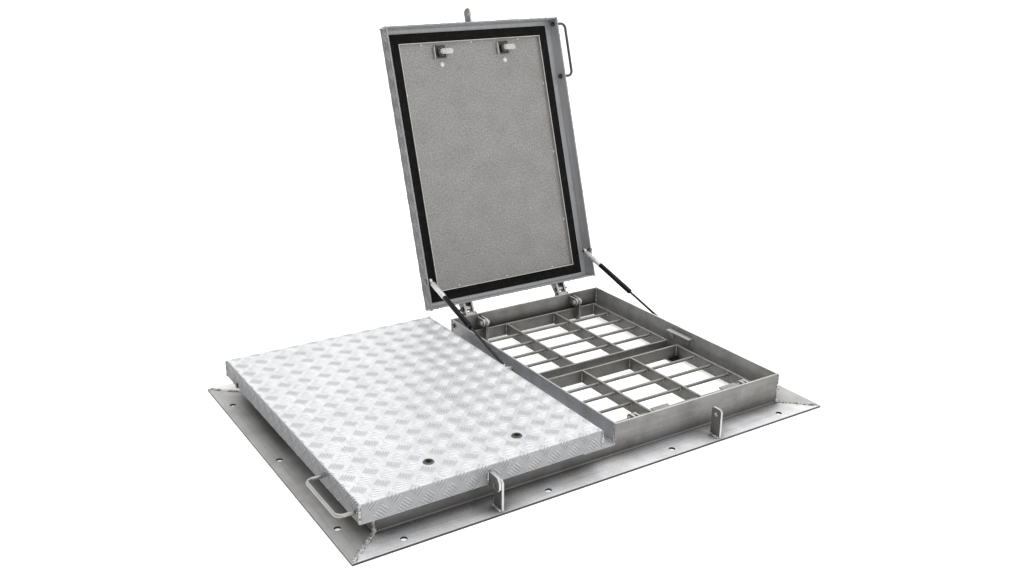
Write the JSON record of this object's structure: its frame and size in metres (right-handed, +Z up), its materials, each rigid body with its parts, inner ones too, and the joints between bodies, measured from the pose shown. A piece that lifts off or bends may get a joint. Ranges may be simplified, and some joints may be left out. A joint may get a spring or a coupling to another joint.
{
  "type": "deck hatch",
  "caption": "Raised twin-leaf deck access hatch: flanged coaming with a central drain gutter, tread-plate lids on gas springs, one open, and hinged fall grates beneath.",
  "frame": {"origin": "centre of the flange's underside, on the middle plane between the two lids", "axes": "+X along the front to the open lid's side, +Y from the padlock side to the hinge side, +Z up"},
  "size_m": [1.522, 1.3929, 1.0744],
  "materials": {
    "flange_aluminium": "satin, brushed",
    "coaming_aluminium": "satin mill finish, darker inside",
    "tread_plate": "bright mill finish",
    "edge_frame": "bright",
    "liner_sheet": "matt stucco grain",
    "insulation": "foam",
    "seal_rubber": "matt",
    "pad_rubber": "matt",
    "grate_aluminium": "satin mill finish with weld tint",
    "handle_rod": "satin",
    "bracket_metal": "satin",
    "lug_metal": "satin",
    "bolt_steel": "dark zinc",
    "lock_metal": "satin",
    "lock_core": "semi-gloss",
    "cam_steel": "bright zinc",
    "spring_tube": "semi-gloss black",
    "spring_rod": "dark polished"
  },
  "bodies": {
    "frame": {"flange_front": "flange_aluminium", "flange_rear": "flange_aluminium", "flange_left": "flange_aluminium", "flange_right": "flange_aluminium", "coaming_front": "coaming_aluminium", "coaming_rear": "coaming_aluminium", "coaming_left": "coaming_aluminium", "coaming_right": "coaming_aluminium", "gutter_channel": "coaming_aluminium", "lid_hinge_brackets": "bracket_metal", "lid_hinge_bolts": "bolt_steel", "flange_lugs": "lug_metal", "strike_plates": "bracket_metal", "coaming_spring_studs": "bolt_steel", "gutter_wall_bolts": "bolt_steel", "keeper_brackets": "bracket_metal", "grate_supports": "bracket_metal", "grate_pads": "pad_rubber", "grate_hinge_brackets": "bracket_metal", "grate_hinge_bolts": "bolt_steel", "left_front_grate": "grate_aluminium", "left_rear_grate": "grate_aluminium"},
    "left_lid": {"left_lid_pan": "tread_plate", "left_lid_seal": "seal_rubber", "left_lid_edge_frame": "edge_frame", "left_lid_liner": "liner_sheet", "left_lid_insulation": "insulation", "left_lid_handle": "handle_rod", "left_lid_lug": "lug_metal", "left_lid_hinge_ears": "bracket_metal", "left_lid_spring_studs": "bolt_steel", "left_lock_housings": "lock_metal"},
    "left_inner_lock": {"left_inner_lock_core": "lock_core", "left_inner_lock_cam": "cam_steel"},
    "left_outer_lock": {"left_outer_lock_core": "lock_core", "left_outer_lock_cam": "cam_steel"},
    "left_inner_spring_tube": {"left_inner_spring_tube": "spring_tube"},
    "left_inner_spring_rod": {"left_inner_spring_rod": "spring_rod"},
    "left_outer_spring_tube": {"left_outer_spring_tube": "spring_tube"},
    "left_outer_spring_rod": {"left_outer_spring_rod": "spring_rod"},
    "right_lid": {"right_lid_pan": "tread_plate", "right_lid_seal": "seal_rubber", "right_lid_edge_frame": "edge_frame", "right_lid_liner": "liner_sheet", "right_lid_insulation": "insulation", "right_lid_handle": "handle_rod", "right_lid_lug": "lug_metal", "right_lid_hinge_ears": "bracket_metal", "right_lid_spring_studs": "bolt_steel", "right_lock_housings": "lock_metal"},
    "right_inner_lock": {"right_inner_lock_core": "lock_core", "right_inner_lock_cam": "cam_steel"},
    "right_outer_lock": {"right_outer_lock_core": "lock_core", "right_outer_lock_cam": "cam_steel"},
    "right_inner_spring_tube": {"right_inner_spring_tube": "spring_tube"},
    "right_inner_spring_rod": {"right_inner_spring_rod": "spring_rod"},
    "right_outer_spring_tube": {"right_outer_spring_tube": "spring_tube"},
    "right_outer_spring_rod": {"right_outer_spring_rod": "spring_rod"},
    "right_rear_grate": {"right_rear_grate": "grate_aluminium"},
    "right_front_grate": {"right_front_grate": "grate_aluminium"}
  },
  "joints": [
    {"name": "left_lid_hinge", "type": "hinge", "parent": "frame", "child": "left_lid", "pos_m": [-0.3645, 0.517, 0.068], "axis": [-1, 0, 0], "range_deg": [0, 107]},
    {"name": "left_inner_lock_turn", "type": "hinge", "parent": "left_lid", "child": "left_inner_lock", "pos_m": [-0.228, -0.395, 0.1], "axis": [0, 0, 1], "range_deg": [0, 90]},
    {"name": "left_outer_lock_turn", "type": "hinge", "parent": "left_lid", "child": "left_outer_lock", "pos_m": [-0.484, -0.395, 0.1], "axis": [0, 0, 1], "range_deg": [0, 90]},
    {"name": "left_inner_spring_pivot", "type": "hinge", "parent": "left_lid", "child": "left_inner_spring_tube", "pos_m": [-0.034, 0.375, 0.071], "axis": [1, 0, 0], "range_deg": [0, 121.44]},
    {"name": "left_inner_spring_stroke", "type": "slide", "parent": "left_inner_spring_tube", "child": "left_inner_spring_rod", "axis": [0, -0.9997, -0.0228], "range_m": [0, 0.2057]},
    {"name": "left_outer_spring_pivot", "type": "hinge", "parent": "left_lid", "child": "left_outer_spring_tube", "pos_m": [-0.6835, 0.375, 0.071], "axis": [1, 0, 0], "range_deg": [0, 121.44]},
    {"name": "left_outer_spring_stroke", "type": "slide", "parent": "left_outer_spring_tube", "child": "left_outer_spring_rod", "axis": [0, -0.9997, -0.0228], "range_m": [0, 0.2057]},
    {"name": "right_lid_hinge", "type": "hinge", "parent": "frame", "child": "right_lid", "pos_m": [0.3645, 0.517, 0.068], "axis": [-1, 0, 0], "range_deg": [-107, 0]},
    {"name": "right_inner_lock_turn", "type": "hinge", "parent": "right_lid", "child": "right_inner_lock", "pos_m": [0.228, 0.81424, 0.93079], "axis": [0, -0.9563, 0.2924], "range_deg": [0, 90]},
    {"name": "right_outer_lock_turn", "type": "hinge", "parent": "right_lid", "child": "right_outer_lock", "pos_m": [0.484, 0.81424, 0.93079], "axis": [0, -0.9563, 0.2924], "range_deg": [0, 90]},
    {"name": "right_inner_spring_pivot", "type": "hinge", "parent": "right_lid", "child": "right_inner_spring_tube", "pos_m": [0.034, 0.56139, 0.20292], "axis": [1, 0, 0], "range_deg": [-121.44, 0]},
    {"name": "right_inner_spring_stroke", "type": "slide", "parent": "right_inner_spring_tube", "child": "right_inner_spring_rod", "axis": [0, -0.9626, -0.271], "range_m": [-0.2057, 0]},
    {"name": "right_outer_spring_pivot", "type": "hinge", "parent": "right_lid", "child": "right_outer_spring_tube", "pos_m": [0.6835, 0.56139, 0.20292], "axis": [1, 0, 0], "range_deg": [-121.44, 0]},
    {"name": "right_outer_spring_stroke", "type": "slide", "parent": "right_outer_spring_tube", "child": "right_outer_spring_rod", "axis": [0, -0.9626, -0.271], "range_m": [-0.2057, 0]},
    {"name": "right_rear_grate_hinge", "type": "hinge", "parent": "frame", "child": "right_rear_grate", "pos_m": [0.356, 0.411, 0.076], "axis": [-1, 0, 0], "range_deg": [0, 95]},
    {"name": "right_front_grate_hinge", "type": "hinge", "parent": "frame", "child": "right_front_grate", "pos_m": [0.356, -0.411, 0.076], "axis": [1, 0, 0], "range_deg": [0, 95]}
  ],
  "couplings": [
    {"joint": "left_inner_spring_pivot", "follows": "left_lid_hinge", "ratio": 1.1348},
    {"joint": "left_inner_spring_stroke", "follows": "left_lid_hinge", "m_per_rad": 0.11003},
    {"joint": "left_outer_spring_pivot", "follows": "left_lid_hinge", "ratio": 1.1348},
    {"joint": "left_outer_spring_stroke", "follows": "left_lid_hinge", "m_per_rad": 0.11003},
    {"joint": "right_inner_spring_pivot", "follows": "right_lid_hinge", "ratio": 1.1348},
    {"joint": "right_inner_spring_stroke", "follows": "right_lid_hinge", "m_per_rad": 0.11003},
    {"joint": "right_outer_spring_pivot", "follows": "right_lid_hinge", "ratio": 1.1348},
    {"joint": "right_outer_spring_stroke", "follows": "right_lid_hinge", "m_per_rad": 0.11003}
  ]
}
